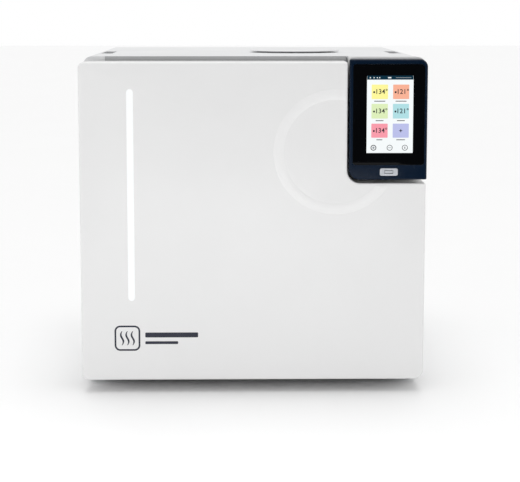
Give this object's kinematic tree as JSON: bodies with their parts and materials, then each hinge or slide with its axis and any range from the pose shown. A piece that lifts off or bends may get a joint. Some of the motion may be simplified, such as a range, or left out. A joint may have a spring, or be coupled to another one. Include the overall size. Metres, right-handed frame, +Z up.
{
  "type": "benchtop autoclave",
  "caption": "Benchtop steam steriliser: full-front hinged door with spiral-cam bolt lock, round pressure chamber with trays, touch console, twin water tank and vacuum system.",
  "frame": {"origin": "on the floor under the middle of the outer box", "axes": "+X to the right seen from the front, -Y towards the front, +Z up"},
  "size_m": [0.48, 0.6, 0.473],
  "materials": {
    "door_white": "satin moulded, fine grain",
    "cover_grey": "fine textured powder coat",
    "trim_grey": "fine grained",
    "light_bar": "milky diffuser",
    "navy": "smooth satin",
    "black_glass": "polished",
    "display": "lit display",
    "usb_metal": "satin nickel",
    "stainless": "brushed",
    "polished_steel": "electropolished",
    "zinc_steel": "zinc plated",
    "dark_steel": "phosphated",
    "silicone": "moulded silicone",
    "rubber": "moulded",
    "black_plastic": "fine grained",
    "niche_plastic": "fine grained",
    "filter_white": "smooth",
    "brass": "machined",
    "copper": "drawn",
    "blue_plastic": "smooth",
    "grey_plastic": "smooth",
    "red_plastic": "smooth",
    "lagging": "glass wool felt",
    "tank_plastic": "translucent moulding",
    "aluminium": "rolled",
    "circuit_board": "solder mask"
  },
  "bodies": {
    "cabinet": {"hinge_brackets": "stainless", "hinge_pins": "stainless", "front_trim": "trim_grey", "chassis": "zinc_steel", "base_plate": "zinc_steel", "left_panel": "cover_grey", "right_panel": "cover_grey", "rear_panel": "cover_grey", "top_cover": "cover_grey", "carry_grips": "trim_grey", "console_housing": "door_white", "console_bezel": "navy", "console_glass": "black_glass", "display_panel": "display", "usb_port": "usb_metal", "service_niche": "niche_plastic", "hose_couplings": "brass", "chamber": "stainless", "heater_bands": "dark_steel", "insulation": "lagging", "tray_rack": "stainless", "trays": "stainless", "water_tank": "tank_plastic", "strainer": "filter_white", "condenser": "aluminium", "fan_frame": "black_plastic", "vacuum_pump": "dark_steel", "steam_generator": "stainless", "power_supply": "zinc_steel", "control_board": "circuit_board", "valve_block": "brass", "water_pump": "dark_steel", "pipework": "copper", "power_inlet": "black_plastic", "hose_barbs": "brass", "safety_valve": "brass", "case_screws": "stainless", "wall_spacers": "rubber", "rear_feet": "rubber"},
    "door": {"door_shell": "door_white", "light_guide": "light_bar", "door_frame": "zinc_steel", "door_liner": "niche_plastic", "pressure_plate": "polished_steel", "door_gasket": "silicone", "hinge_leaves": "stainless", "lock_motor": "dark_steel", "lock_bracket": "zinc_steel"},
    "lock_cam": {"lock_cam": "stainless"},
    "upper_bolt": {"upper_bolt": "stainless"},
    "lower_bolt": {"lower_bolt": "stainless"},
    "power_rocker": {"power_rocker": "black_plastic"},
    "bacteria_filter": {"bacteria_filter": "filter_white"},
    "fill_collar": {"fill_collar": "blue_plastic"},
    "drain_collar": {"drain_collar": "grey_plastic"},
    "tank_lid": {"tank_lid": "cover_grey"},
    "fan_rotor": {"fan_rotor": "black_plastic"},
    "valve_cap": {"valve_cap": "red_plastic"},
    "left_foot": {"left_foot": "rubber"},
    "right_foot": {"right_foot": "rubber"}
  },
  "joints": [
    {"name": "door_hinge", "type": "hinge", "parent": "cabinet", "child": "door", "pos_m": [-0.23, -0.244, 0.235], "axis": [0, 0, -1], "range_deg": [0, 110]},
    {"name": "lock_cam_turn", "type": "hinge", "parent": "door", "child": "lock_cam", "pos_m": [-0.035, -0.28, 0.235], "axis": [0, -1, 0], "range_deg": [0, 60]},
    {"name": "upper_bolt_slide", "type": "slide", "parent": "door", "child": "upper_bolt", "axis": [0, 0, 1], "range_m": [0, 0.016]},
    {"name": "lower_bolt_slide", "type": "slide", "parent": "door", "child": "lower_bolt", "axis": [0, 0, -1], "range_m": [0, 0.016]},
    {"name": "tank_lid_hinge", "type": "hinge", "parent": "cabinet", "child": "tank_lid", "pos_m": [0.067, 0.048, 0.4695], "axis": [-1, 0, 0], "range_deg": [0, 100]},
    {"name": "power_rocker_tilt", "type": "hinge", "parent": "cabinet", "child": "power_rocker", "pos_m": [0.177, -0.198, 0.258], "axis": [-1, 0, 0], "range_deg": [0, 16]},
    {"name": "filter_turn", "type": "hinge", "parent": "cabinet", "child": "bacteria_filter", "pos_m": [0.177, -0.21, 0.195], "axis": [0, -1, 0], "range_deg": [0, 360]},
    {"name": "fill_collar_slide", "type": "slide", "parent": "cabinet", "child": "fill_collar", "axis": [0, 1, 0], "range_m": [0, 0.004]},
    {"name": "drain_collar_slide", "type": "slide", "parent": "cabinet", "child": "drain_collar", "axis": [0, 1, 0], "range_m": [0, 0.004]},
    {"name": "fan_spin", "type": "hinge", "parent": "cabinet", "child": "fan_rotor", "pos_m": [0.175, 0.252, 0.273], "axis": [0, 1, 0], "continuous": true},
    {"name": "valve_cap_turn", "type": "hinge", "parent": "cabinet", "child": "valve_cap", "pos_m": [-0.035, 0.29, 0.403], "axis": [0, 1, 0], "range_deg": [0, 270]},
    {"name": "left_foot_turn", "type": "hinge", "parent": "cabinet", "child": "left_foot", "pos_m": [-0.195, -0.195, 0.006], "axis": [0, 0, 1], "range_deg": [-360, 720]},
    {"name": "right_foot_turn", "type": "hinge", "parent": "cabinet", "child": "right_foot", "pos_m": [0.195, -0.195, 0.006], "axis": [0, 0, 1], "range_deg": [-360, 720]}
  ],
  "couplings": [
    {"joint": "upper_bolt_slide", "follows": "lock_cam_turn", "m_per_rad": 0.015279},
    {"joint": "lower_bolt_slide", "follows": "lock_cam_turn", "m_per_rad": 0.015279}
  ]
}
